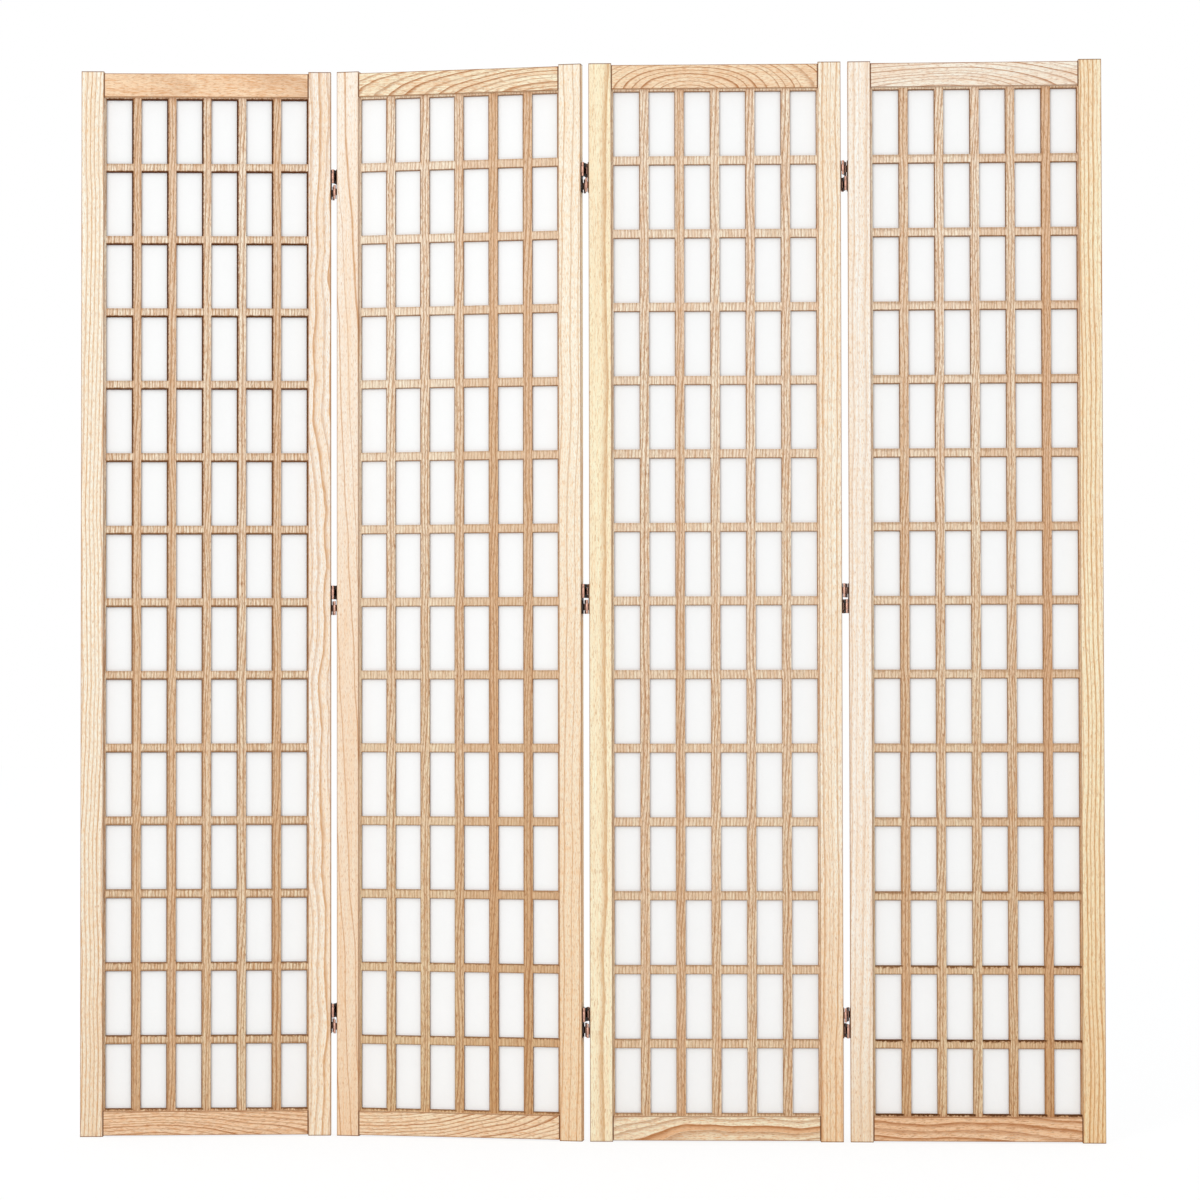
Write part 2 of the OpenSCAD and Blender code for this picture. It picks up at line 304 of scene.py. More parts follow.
# Fine grain: noise drawn out along z. Fibres are hair-thin; Streaks are short bundles of them, Pores
# thin dark dashes, Bands a few millimetres wide and long, and Mottle is broad and soft.
def makeFineGrain():
    group, given, out = startGroup("fineGrain", ["Vector"], ["Seed"], grainLayers)
    shifted = vectorCalc(group, "ADD", given["Vector"], given["Seed"])
    masks = {}
    for name, layer in grainLayers.items():
        pattern = stretchedNoise(group, shifted, layer["scales"], layer["detail"], 0.6)
        masks[name] = ramp(group, pattern, *layer["values"])
    bundled = calc(group, "MULTIPLY_ADD", masks["Fibres"], 0.75, 0.35)
    masks["Streaks"] = times(group, masks["Streaks"], bundled)
    for name, mask in masks.items():
        group.links.new(mask, out[name])
    return group


# Arris: near the edges of a board, where the second smallest of the three distances to its faces
# is small. Ends: near its two ends. Both are full at first and fade out a little past Width.
def makeBoardEdges():
    group, given, out = startGroup("boardEdges", ["Vector", "Half Size"], ["Width"], ["Arris", "Ends"])
    outward = vectorCalc(group, "ABSOLUTE", given["Vector"])
    x, y, z = splitVector(group, vectorCalc(group, "SUBTRACT", given["Half Size"], outward))
    second = larger(group, smaller(group, x, y), smaller(group, larger(group, x, y), z))
    fullUpTo = times(group, given["Width"], 0.4)
    arris = ramp(group, second, fullUpTo, times(group, given["Width"], 1.1), 1.0, 0.0)
    ends = ramp(group, z, fullUpTo, times(group, given["Width"], 1.3), 1.0, 0.0)
    group.links.new(arris, out["Arris"])
    group.links.new(ends, out["Ends"])
    return group


# Distance from a point on the grille to the edge of the nearest window, negative inside one:
# the larger of the two distances along x and z, each folded by the pitch of the windows.
# Below is the distance down from a window's lower edge, Above the one up from its upper edge.
def makeWindowDistance():
    vectors = ("Vector", "Start", "Pitch", "Size")
    group, given, out = startGroup("windowDistance", vectors, [], ["Distance", "Below", "Above"])
    local = vectorCalc(group, "SUBTRACT", given["Vector"], given["Start"])
    folded = vectorCalc(group, "MODULO", vectorCalc(group, "ADD", local, given["Pitch"]), given["Pitch"])
    past = vectorCalc(group, "SUBTRACT", folded, given["Size"])
    before = vectorCalc(group, "SUBTRACT", given["Pitch"], folded)
    left = vectorCalc(group, "SUBTRACT", given["Size"], folded)
    inside = stretched(group, vectorCalc(group, "MINIMUM", folded, left), (-1, -1, -1))
    outside = vectorCalc(group, "MINIMUM", past, before)
    across, _, up = splitVector(group, vectorCalc(group, "MAXIMUM", outside, inside))
    under = splitVector(group, before)[2]
    over = splitVector(group, past)[2]
    for title, upright in (("Distance", up), ("Below", under), ("Above", over)):
        group.links.new(larger(group, across, upright), out[title])
    return group


# Distance in plan from the nearer of two upright pins
def makePinDistance():
    group, given, out = startGroup("pinDistance", ["Vector", "Pin A", "Pin B"], [], ["Distance"])
    spans = []
    for pin in ("Pin A", "Pin B"):
        away = vectorCalc(group, "SUBTRACT", given["Vector"], given[pin])
        spans.append(vectorMath(group, "LENGTH", stretched(group, away, (1, 1, 0)))["Value"])
    group.links.new(smaller(group, spans[0], spans[1]), out["Distance"])
    return group


growthRings = makeGrowthRings()
fineGrain = makeFineGrain()
boardEdges = makeBoardEdges()
windowDistance = makeWindowDistance()
pinDistance = makePinDistance()
print("node groups are ready")


# A board's middle and the directions of its width, depth and grain, in the row frame
def boardFrame(number, middle, upright=True):
    yaw = places[number]["yaw"]
    along = Vector((math.cos(yaw), math.sin(yaw), 0))
    back = Vector((-along.y, along.x, 0))
    up = Vector((0, 0, 1))
    origin = Vector(fromPanel(number, np.array(middle, float)).tolist())
    columns = (along, back, up) if upright else (-up, back, along)
    return origin, Matrix(columns).transposed()


# Coordinates that start at a board's middle and turn with it, from object coordinates
def boardSpace(tree, origin, turn):
    sockets = {"Vector": coordinates(tree, "Object"), "Location": origin, "Rotation": turn.to_euler("XYZ")}
    return addNode(tree, "ShaderNodeMapping", sockets, vector_type="TEXTURE").outputs[0]


# Growth rings as a look describes them
def placeRings(tree, vector, look, seed):
    return placeGroup(tree, growthRings, {
        "Vector": vector, "Heart X": look["heart"][0], "Heart Y": look["heart"][1],
        "Lean X": look["lean"][0], "Lean Y": look["lean"][1], "Ring Width": look["ringWidth"],
        "Wander": look["wander"], "Seed": seed, "Line Start": look["lineStart"]})


# Distances to the windows of a grille, in the panel's own space
def placeWindows(tree, vector):
    return placeGroup(tree, windowDistance, {
        "Vector": vector, "Start": (screen["windowX"], 0, screen["windowZ"]),
        "Pitch": (screen["pitchX"], 1, screen["pitchZ"]),
        "Size": (screen["windowWidth"], 1, screen["windowHeight"])})


# How far a surface faces the back of its panel, from -1 to 1
def facingBack(tree, number):
    yaw = places[number]["yaw"]
    back = (-math.sin(yaw), math.cos(yaw), 0)
    return vectorMath(tree, "DOT_PRODUCT", coordinates(tree, "Normal"), back)["Value"]


# Wood

# Heights in the bump: late wood stands out, pores and fibres lie deeper
woodRelief = {"line": 0.25, "pore": -0.7, "fibre": -0.3, "strength": 0.35, "depth": 0.0003}

# A board's own look adds its early wood, heart, ringWidth and seed, and what differs from this one
woodLook = {
    "late": (0.58, 0.27, 0.085, 1),
    "soft": (0.90, 0.57, 0.28, 1),
    "pore": (0.58, 0.28, 0.10, 1),
    "paintedLightAndWear": (0.32, 0.125, 0.04, 1),
    "joint": (0.14, 0.05, 0.016, 1),
    "pink": (0.90, 0.70, 0.52, 1),
    "lineStrength": 0.85,
    "lineStart": 0.55,
    "faintLine": 0.6,
    "wander": 0.004,
    "lean": (0.0, 0.0),
    "pinkness": 0.3,
    "fibre": 0.10,
    "streak": 0.66,
    "band": 0.24,
    "ringTint": 0.10,
    "poreStrength": 0.6,
    "floorShadeTone": (0.93, 0.85, 0.77, 1),
    "floorShadeHeight": 1.25,
    "edge": 0.75,
    "edgeWidth": 0.0015,
    "endDark": 0.6,
    "roughness": 0.66,
    "poreRoughness": 0.18,
    "shine": 0.18,
}


# The bump of bare wood
def woodBump(relief):
    return {"Height": relief, "Strength": woodRelief["strength"], "Distance": woodRelief["depth"]}


# Bare wood on a board: rings, streaks, pores, a broad pink mottle, painted shade that makes it darker and
# browner near the floor, edges darkened partly by handling and partly by painted shade, and dark ends where
# it meets its neighbour, partly a dark joint and partly painted shade
def woodMaterial(name, frameOf, halfSize, changes):
    look = {**woodLook, **changes}
    material, tree, shader = startMaterial(name)
    vector = boardSpace(tree, *frameOf)
    rings = placeRings(tree, vector, look, look["seed"])
    grain = placeGroup(tree, fineGrain, {"Vector": vector, "Seed": look["seed"] * 1.37})
    edges = placeGroup(tree, boardEdges, {
        "Vector": vector, "Half Size": halfSize, "Width": look["edgeWidth"]})
    faint = look["lineStrength"] * look["faintLine"]
    strength = ramp(tree, rings["Ring Tone"], 0.0, 1.0, faint, look["lineStrength"])
    line = times(tree, rings["Late Wood"], strength)
    color = coat(tree, look["early"], grain["Mottle"], look["pinkness"], look["pink"])
    color = coat(tree, color, rings["Ring Tone"], look["ringTint"], look["soft"])
    color = coat(tree, color, grain["Fibres"], look["fibre"], look["soft"])
    color = coat(tree, color, grain["Bands"], look["band"], look["soft"])
    color = coat(tree, color, grain["Streaks"], look["streak"], look["soft"])
    color = blendColor(tree, line, color, look["late"])
    color = coat(tree, color, grain["Pores"], look["poreStrength"], look["pore"])
    height = splitVector(tree, coordinates(tree, "Object"))[2]
    # painted shade: the wood is darker and browner towards the floor, where the light falls off
    floorShade = ramp(tree, height, 0.0, look["floorShadeHeight"], 1.0, 0.0, smooth=False)
    color = blendColor(tree, floorShade, color, look["floorShadeTone"], "MULTIPLY")
    # edges: painted shade along the edges, under the rails and at the floor, together with wear from
    # handling
    color = coat(tree, color, edges["Arris"], look["edge"], look["paintedLightAndWear"])
    facing = splitVector(tree, coordinates(tree, "Normal"))[2]
    # dark ends: a dark joint line, partly painted shade in the joints and where the boards meet the floor
    endShare = ramp(tree, calc(tree, "ABSOLUTE", facing), 0.5, 0.9, look["endDark"], look["endDark"] * 0.4)
    color = coat(tree, color, edges["Ends"], endShare, look["joint"])
    dents = times(tree, grain["Pores"], woodRelief["pore"])
    relief = plus(tree, times(tree, line, woodRelief["line"]), dents)
    relief = plus(tree, relief, times(tree, grain["Fibres"], woodRelief["fibre"]))
    roughness = plus(tree, times(tree, grain["Pores"], look["poreRoughness"]), look["roughness"])
    finishShader(tree, shader, woodBump(relief), {
        "Base Color": color, "Roughness": roughness, "Specular IOR Level": look["shine"]})
    return material


# Gives a CAD node's every slot one material
def paint(nodeName, material):
    piece = nodes[nodeName]
    for slot in piece.material_slots:
        slot.material = material
    if not piece.material_slots:
        piece.data.materials.append(material)
    return piece


# Joins a CAD node's loose triangles and rounds its sharp edges a little
def softenEdges(piece, width):
    weld = piece.modifiers.new("joined", "WELD")
    weld.merge_threshold = 0.000002
    bevel = piece.modifiers.new("rounded", "BEVEL")
    bevel.width = width
    bevel.segments = 2
    bevel.limit_method = "ANGLE"
    bevel.angle_limit = math.radians(50)
    bevel.harden_normals = False


# Tones of fresh wood, from the palest board to the brownest, and how much painted shade darkens and browns
# a board near the floor
woodTones = {
    "ivory": (0.95, 0.95, 0.90, 1),
    "cream": (0.95, 0.95, 0.84, 1),
    "straw": (0.95, 0.93, 0.70, 1),
    "honey": (0.95, 0.83, 0.60, 1),
    "amber": (0.95, 0.73, 0.50, 1),
    "tan": (0.90, 0.68, 0.46, 1),
}
floorShadeTones = {
    "none": (1.0, 1.0, 1.0, 1),
    "little": (1.0, 0.95, 0.85, 1),
    "some": (0.93, 0.83, 0.70, 1),
    "much": (0.92, 0.76, 0.60, 1),
}

# Each stile: where the heart of the tree lies beside it, and the look of its lines
stileLooks = {
    (1, "left"): {
        "heart": (-0.10, 0.05), "lean": (0.010, 0.0), "ringWidth": 0.0056, "lineStrength": 0.97,
        "pinkness": 0.1, "early": woodTones["cream"], "floorShadeHeight": 0.8, "seed": 1.3},
    (1, "right"): {
        "heart": (0.09, 0.09), "lean": (-0.010, 0.0), "ringWidth": 0.0082, "wander": 0.012,
        "lineStrength": 0.85, "lineStart": 0.42, "ringTint": 0.3, "pinkness": 0.1,
        "early": woodTones["ivory"], "floorShadeTone": floorShadeTones["little"], "floorShadeHeight": 0.6, "seed": 2.9},
    (2, "left"): {
        "heart": (-0.14, 0.03), "lean": (-0.050, 0.0), "ringWidth": 0.0180, "lineStrength": 0.83,
        "lineStart": 0.84, "streak": 0.38,
        "early": woodTones["ivory"], "floorShadeTone": floorShadeTones["much"], "floorShadeHeight": 1.7, "seed": 4.1},
    (2, "right"): {
        "heart": (0.12, 0.04), "lean": (0.012, 0.0), "ringWidth": 0.0120, "lineStrength": 0.83,
        "lineStart": 0.78, "pinkness": 0.15,
        "early": woodTones["cream"], "floorShadeTone": floorShadeTones["much"], "seed": 5.7},
    (3, "left"): {
        "heart": (-0.06, 0.12), "lean": (0.004, 0.0), "ringWidth": 0.0110, "lineStrength": 0.69,
        "lineStart": 0.5, "streak": 0.45,
        "early": woodTones["straw"], "floorShadeTone": floorShadeTones["none"], "seed": 7.2},
    (3, "right"): {
        "heart": (0.16, 0.02), "lean": (0.002, 0.0), "ringWidth": 0.0075, "lineStrength": 0.78,
        "pinkness": 0.4,
        "early": woodTones["cream"], "floorShadeTone": floorShadeTones["much"], "floorShadeHeight": 0.5, "seed": 8.8},
    (4, "left"): {
        "heart": (-0.11, 0.06), "lean": (0.008, 0.0), "ringWidth": 0.0090, "lineStrength": 0.45,
        "streak": 0.45,
        "early": woodTones["ivory"], "floorShadeTone": floorShadeTones["some"], "floorShadeHeight": 0.35, "seed": 10.1},
    (4, "right"): {
        "heart": (0.10, 0.05), "lean": (-0.006, 0.0), "ringWidth": 0.0060, "lineStrength": 0.97,
        "pinkness": 0.5,
        "early": woodTones["straw"], "floorShadeTone": floorShadeTones["some"], "floorShadeHeight": 0.8, "seed": 11.6},
}
stileRounding = 0.0004
halfThickness = screen["thickness"] / 2
halfStile = (screen["stileWidth"] / 2, halfThickness, screen["panelHeight"] / 2)

for (number, side), look in stileLooks.items():
    middleX = halfStile[0] if side == "left" else screen["panelWidth"] - halfStile[0]
    frameOf = boardFrame(number, (middleX, 0, halfStile[2]))
    material = woodMaterial(f"stile_wood_{number}_{side}", frameOf, halfStile, look)
    softenEdges(paint(f"panel_{number}_{side}_stile", material), stileRounding)

# Each rail: the heart crosses the board at a slant, which draws arches on its face.
# Local x runs down and z along the rail; the heart meets the face where y is -0.009.
railLooks = {
    (1, "top"): {
        "heart": (0.01, 0.20), "lean": (0.06, 0.02), "ringWidth": 0.0065, "lineStrength": 0.34,
        "lineStart": 0.3, "streak": 1.0, "poreStrength": 0.55, "ringTint": 0.1,
        "early": woodTones["amber"], "seed": 3.3},
    (2, "top"): {
        "heart": (0.030, -0.048), "lean": (0.0, 0.24), "ringWidth": 0.0060, "wander": 0.006,
        "lineStart": 0.5, "early": woodTones["straw"], "seed": 6.4},
    (3, "top"): {
        "heart": (0.023, 0.006), "lean": (0.0, 0.38), "ringWidth": 0.0056, "wander": 0.005,
        "lineStart": 0.66, "early": woodTones["honey"], "seed": 9.1},
    (4, "top"): {
        "heart": (0.032, 0.004), "lean": (0.0, 0.20), "ringWidth": 0.0052, "lineStrength": 0.90,
        "lineStart": 0.62, "pinkness": 0.5, "streak": 0.45, "ringTint": 0.0,
        "early": woodTones["cream"], "seed": 12.7},
    (1, "bottom"): {
        "heart": (0.034, 0.009), "lean": (0.0, 0.15), "ringWidth": 0.0048, "wander": 0.006,
        "early": woodTones["tan"], "seed": 14.2},
    (2, "bottom"): {
        "heart": (-0.060, 0.033), "lean": (0.0, 0.28), "ringWidth": 0.0052, "wander": 0.006,
        "early": woodTones["honey"], "seed": 15.5},
    (3, "bottom"): {
        "heart": (0.058, -0.039), "lean": (0.0, 0.17), "ringWidth": 0.0095, "wander": 0.016,
        "lineStart": 0.25, "ringTint": 0.85, "early": woodTones["straw"], "seed": 17.9},
    (4, "bottom"): {
        "heart": (0.060, 0.011), "lean": (0.0, 0.16), "ringWidth": 0.0100, "wander": 0.014,
        "lineStart": 0.3, "pinkness": 0.6, "pink": (0.76, 0.50, 0.32, 1), "streak": 0.9,
        "poreStrength": 0.7, "ringTint": 0.4, "early": woodTones["amber"], "seed": 19.4},
}
# What the rails share
railTone = {
    "late": (0.43, 0.165, 0.05, 1),
    "pore": (0.36, 0.13, 0.04, 1),
    "soft": (0.76, 0.40, 0.19, 1),
    "floorShadeTone": floorShadeTones["none"],
    "lineStrength": 1.0,
    "streak": 0.85,
    "ringTint": 0.22,
    "edge": 0.8,
    "endDark": 0.9,
}
railRounding = 0.0003
middleOfPanel = screen["panelWidth"] / 2
halfRail = (screen["railHeight"] / 2, halfThickness, middleOfPanel - screen["stileWidth"])

for (number, level), look in railLooks.items():
    lowEdge = screen["topRailZ"] if level == "top" else screen["bottomRailZ"]
    frameOf = boardFrame(number, (middleOfPanel, 0, lowEdge + halfRail[0]), upright=False)
    material = woodMaterial(f"rail_wood_{number}_{level}", frameOf, halfRail, {**railTone, **look})
    softenEdges(paint(f"panel_{number}_{level}_rail", material), railRounding)

# The dowels get no darkened edges (wear and painted shade), so their board counts as wider than the panel
dowelLook = {"early": (0.76, 0.58, 0.38, 1), "ringWidth": 0.003, "heart": (0.02, 0.02), "pinkness": 0.2}

for number in panelNumbers:
    frameOf = boardFrame(number, (middleOfPanel, 0, halfStile[2]), upright=False)
    look = {**dowelLook, "seed": number * 2.1}
    paint(f"panel_{number}_dowels", woodMaterial(f"dowel_wood_{number}", frameOf, (1, 1, 1), look))
print("frames are finished")


# Grille

# Rows of four go panel by panel. Tints go from 0, pale, to 1, deep: a few of the five uprights are
# deeper than the rest, and so are the short pieces over the windows on the right half.
grilleLook = {
    "pale": (0.96, 0.89, 0.73, 1),
    "deep": (0.67, 0.41, 0.22, 1),
    "late": (0.40, 0.17, 0.055, 1),
    "soft": (0.66, 0.37, 0.18, 1),
    "pore": (0.36, 0.155, 0.055, 1),
    "pink": (0.86, 0.60, 0.47, 1),
    "scorchAndShade": (0.075, 0.020, 0.004, 1),
    "toastAndShade": (0.33, 0.145, 0.045, 1),
    "heart": (-0.3, 0.07),
    "lean": (0.02, 0.0),
    "ringWidth": 0.0052,
    "wander": 0.006,
    "lineStart": 0.45,
    "lineStrength": 0.8,
    "fibre": 0.14,
    "streak": 0.78,
    "poreStrength": 0.8,
    "band": (0.35, 0.5),
    "floorShadeHeight": 1.35,
    "grainShift": 4.0,
    "patchScales": (260, 260, 260),
    "wallDark": 0.65,
    "roughness": 0.62,
    "burntRoughness": 0.2,
    "shine": 0.18,
    "seed": (2.2, 13.7, 21.4, 33.9),
    "pinkness": (0.2, 0.2, 0.3, 0.3),
    "barMarks": (0.9, 0.6, 0.7, 0.65),
    "scorchWidth": (0.0014, 0.0011, 0.0010, 0.0012),
    "scorchDepth": (0.85, 0.6, 0.5, 0.65),
    "overWidth": (0.0042, 0.0022, 0.0020, 0.0024),
    "overDepth": (0.98, 0.6, 0.6, 0.7),
    "underWidth": (0.0040, 0.0032, 0.0035, 0.0055),
    "underDepth": (0.75, 0.65, 0.4, 0.95),
    "floorShadeTone": ((0.87, 0.79, 0.66, 1), (0.80, 0.68, 0.50, 1), (0.87, 0.78, 0.66, 1), (0.82, 0.71, 0.55, 1)),
    "rightBars": (0.0, 0.4, 0.0, 0.35),
    "deepUprights": (
        {1: 0.5, 2: 0.45, 3: 0.2, 5: 0.5},
        {3: 0.3, 4: 0.7, 5: 0.6},
        {2: 0.4},
        {1: 0.4, 4: 0.2, 5: 0.75}),
}
lookByPanel = ("seed", "pinkness", "barMarks", "scorchWidth", "scorchDepth", "overWidth", "overDepth",
               "underWidth", "underDepth", "floorShadeTone", "rightBars", "deepUprights")


# Steps across a panel: red is the tint of a piece, green is 1 on the pieces between uprights
def staveSteps(tree, across, look):
    share = calc(tree, "DIVIDE", across, screen["panelWidth"])
    item = addNode(tree, "ShaderNodeValToRGB", {0: share})
    steps = item.color_ramp
    steps.interpolation = "CONSTANT"
    for column in range(screen["columns"]):
        x = screen["windowX"] + column * screen["pitchX"]
        stop = steps.elements[0] if column == 0 else steps.elements.new(x / screen["panelWidth"])
        stop.color = (look["rightBars"] if column >= screen["columns"] / 2 else 0.0, 1, 0, 1)
        if column + 1 < screen["columns"]:
            stop = steps.elements.new((x + screen["windowWidth"]) / screen["panelWidth"])
            stop.color = (look["deepUprights"].get(column + 1, 0.0), 0, 0, 1)
    steps.elements.remove(steps.elements[-1])
    parts = addNode(tree, "ShaderNodeSeparateColor", {0: item.outputs[0]}).outputs
    return parts[0], parts[1]


# Where the cuts have browned the wood, from 0 to 1: the walls of the holes, the rims round them, and
# wider stains over and under each window; the band over each window is partly scorch and partly
# painted shade along its top edge. Patches make the widths uneven; the stains under the
# windows are darkest near the floor, and those over them near the top.
def burntAndShadedShare(tree, number, vector, height, look):
    rim = placeWindows(tree, vector)
    patches = stretchedNoise(tree, vector, look["patchScales"])
    width = look["scorchWidth"]
    reach = calc(tree, "MULTIPLY_ADD", patches, width * 0.6, width * 0.7)
    burntAndShaded = ramp(tree, rim["Distance"], times(tree, reach, 0.25), reach, look["scorchDepth"], 0.0)
    below = times(tree, ramp(tree, patches, 0.3, 0.7, 0.5, 1.3), look["underWidth"])
    under = ramp(tree, rim["Below"], times(tree, below, 0.3), below, look["underDepth"], 0.0)
    under = times(tree, under, ramp(tree, height, 0.15, 0.6, 1.0, 0.25))
    # the band over each window: partly scorch and partly painted shade along its top edge
    above = times(tree, ramp(tree, patches, 0.3, 0.7, 0.8, 1.1), look["overWidth"])
    over = ramp(tree, rim["Above"], times(tree, above, 0.4), above, look["overDepth"], 0.0)
    over = times(tree, over, ramp(tree, height, 0.2, 1.4, 0.35, 1.0))
    facing = calc(tree, "ABSOLUTE", facingBack(tree, number))
    wall = ramp(tree, facing, 0.3, 0.7, look["wallDark"], 0.0)
    return larger(tree, wall, larger(tree, larger(tree, burntAndShaded, over), under))


# A thin board of upright staves: each has its own tint, the short pieces between uprights are
# streaked, and the cuts of the windows have browned the walls and the rims of the holes, with painted shade
# along the top of each window
def grilleMaterial(number):
    look = {**grilleLook, **{key: grilleLook[key][number - 1] for key in lookByPanel}}
    material, tree, shader = startMaterial(f"grille_wood_{number}")
    vector = boardSpace(tree, *boardFrame(number, (0, 0, 0)))
    across, _, height = splitVector(tree, vector)
    stave, short = staveSteps(tree, across, look)
    otherStretch = times(tree, stave, look["grainShift"])
    apart = addNode(tree, "ShaderNodeCombineXYZ", {2: otherStretch}).outputs[0]
    shifted = vectorCalc(tree, "ADD", vector, apart)
    rings = placeRings(tree, shifted, look, look["seed"])
    grain = placeGroup(tree, fineGrain, {"Vector": shifted, "Seed": look["seed"] * 0.77})
    marks = ramp(tree, short, 0.0, 1.0, 1.0, look["barMarks"], smooth=False)
    bandShare = ramp(tree, short, 0.0, 1.0, *look["band"], smooth=False)
    color = blendColor(tree, stave, look["pale"], look["deep"])
    color = coat(tree, color, grain["Mottle"], look["pinkness"], look["pink"])
    color = coat(tree, color, times(tree, grain["Bands"], marks), bandShare, look["soft"])
    color = coat(tree, color, grain["Fibres"], look["fibre"], look["soft"])
    color = coat(tree, color, times(tree, grain["Streaks"], marks), look["streak"], look["soft"])
    color = coat(tree, color, times(tree, rings["Late Wood"], marks), look["lineStrength"], look["late"])
    color = coat(tree, color, times(tree, grain["Pores"], marks), look["poreStrength"], look["pore"])
    # painted shade: the grille is darker and browner towards the floor, where the light falls off
    floorShade = ramp(tree, height, 0.0, look["floorShadeHeight"], 1.0, 0.0, smooth=False)
    color = blendColor(tree, floorShade, color, look["floorShadeTone"], "MULTIPLY")
    burntAndShaded = burntAndShadedShare(tree, number, vector, height, look)
    # the scorch colours also carry the painted shade over the windows
    color = blendColor(tree, calc(tree, "POWER", burntAndShaded, 0.6), color, look["toastAndShade"])
    color = blendColor(tree, times(tree, burntAndShaded, burntAndShaded), color, look["scorchAndShade"])
    dents = times(tree, grain["Pores"], woodRelief["pore"])
    relief = plus(tree, dents, times(tree, grain["Fibres"], woodRelief["fibre"]))
    roughness = plus(tree, times(tree, burntAndShaded, look["burntRoughness"]), look["roughness"])
    finishShader(tree, shader, woodBump(relief), {
        "Base Color": color, "Roughness": roughness, "Specular IOR Level": look["shine"]})
    return material


for number in panelNumbers:
    paint(f"panel_{number}_grille", grilleMaterial(number))
print("grilles are finished")


# Paper
paperLook = {
    "left": 0.0253,
    "right": 0.3727,
    "bottom": 0.0293,
    "top": 1.6697,
    "front": 0.00152,
    "thickness": 0.0003,
    "puff": 0.00035,
    "puffShares": (0.1, 1.0),
    "tilts": (-0.6, 0.6),
    "seed": 40,
    "cellsAcross": 8,
    "cellsUp": 12,
    "color": (0.93, 0.93, 0.925, 1),
    "fibre": (0.88, 0.88, 0.87, 1),
    "barShadow": (0.80, 0.70, 0.58, 1),
    "barShadowShown": 0.30,
    "fibreScales": (900, 900, 240),
    "fibreShare": 0.35,
    "cloudScale": 22.0,
    "cloudShare": 0.12,
    "bendScale": 60.0,
    "bend": (0.02, 0.02, 0.02),
    "roughness": 0.85,
    "shine": 0.2,
}


# Grid lines along one direction: both edges of the sheet, and even steps across each window
def gridLines(low, high, start, pitch, opening, count, cells):
    lines = [low]
    for window in range(count):
        edge = start + window * pitch
        lines.extend(np.linspace(edge, edge + opening, cells + 1))
    lines.append(high)
    return np.array(lines)


# The window at each place along one direction, and how far across its opening, from 0 to 1
def alongWindows(line, start, pitch, opening, count):
    turns = (line - start) / pitch
    window = np.clip(np.floor(turns + 1e-6), 0, count - 1).astype(int)
    return window, np.clip((turns - window) * pitch / opening, 0, 1)


# One sheet on a grid: y stays on the back of the grille at the bars and puffs back inside a window
# by the product of two squared sines, with a strength that differs from window to window
def paperSheet(number):
    look = paperLook
    rng = np.random.default_rng(look["seed"] + number)
    acrossRow = (screen["windowX"], screen["pitchX"], screen["windowWidth"], screen["columns"])
    upColumn = (screen["windowZ"], screen["pitchZ"], screen["windowHeight"], screen["rows"])
    linesX = gridLines(look["left"], look["right"], *acrossRow, look["cellsAcross"])
    linesZ = gridLines(look["bottom"], look["top"], *upColumn, look["cellsUp"])
    x, z = np.meshgrid(linesX, linesZ, indexing="ij")
    column, inX = alongWindows(x, *acrossRow)
    row, inZ = alongWindows(z, *upColumn)
    windows = (screen["columns"], screen["rows"])
    strength = rng.uniform(*look["puffShares"], windows)[column, row]
    tilt = rng.uniform(*look["tilts"], windows)[column, row]
    puff = strength * np.sin(np.pi * inX) ** 2 * np.sin(np.pi * inZ) ** 2
    puff = puff * (1 + tilt * np.sin(2 * np.pi * inZ))
    y = look["front"] + look["puff"] * puff
    points = fromPanel(number, np.stack((x, y, z), axis=-1)).reshape(-1, 3)
    sheet = newPiece(f"paper_sheet_{number}", points, gridFaces(np.arange(x.size).reshape(x.shape)))
    thick = sheet.modifiers.new("thickness", "SOLIDIFY")
    thick.thickness = look["thickness"]
    thick.offset = -1.0
    return sheet


# White paper with faint bent fibres; from the back a painted shadow of the grille's bars, tinted by their
# wood, shows through a little
def paperMaterial(number):
    look = paperLook
    material, tree, shader = startMaterial(f"paper_{number}")
    vector = boardSpace(tree, *boardFrame(number, (0, 0, 0)))
    bendNoise = {"Vector": vector, "Scale": look["bendScale"], "Detail": 2.0}
    bent = addNode(tree, "ShaderNodeTexNoise", bendNoise).outputs["Color"]
    bent = vectorCalc(tree, "ADD", vector, stretched(tree, bent, look["bend"]))
    fibres = stretchedNoise(tree, bent, look["fibreScales"], 3.0, 0.6)
    clouds = noise(tree, vector, look["cloudScale"], 3.0, 0.55)
    cover = times(tree, ramp(tree, fibres, 0.50, 0.75), look["fibreShare"])
    cover = plus(tree, cover, times(tree, ramp(tree, clouds, 0.35, 0.7), look["cloudShare"]))
    color = blendColor(tree, cover, look["color"], look["fibre"])
    # painted shadow of the bars, tinted by their wood, seen from the back as if through the paper
    onBars = ramp(tree, placeWindows(tree, vector)["Distance"], -0.0004, 0.0006)
    barShadowMask = times(tree, onBars, ramp(tree, facingBack(tree, number), 0.2, 0.6))
    color = coat(tree, color, barShadowMask, look["barShadowShown"], look["barShadow"])
    finishShader(tree, shader, {"Height": fibres, "Strength": 0.25, "Distance": 0.0002}, {
        "Base Color": color, "Roughness": look["roughness"], "Specular IOR Level": look["shine"]})
    return material


for number in panelNumbers:
    sheet = paperSheet(number)
    sheet.data.materials.append(paperMaterial(number))
    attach(sheet, f"panel_{number}")
    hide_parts(f"panel_{number}_paper")
print("paper is in place")


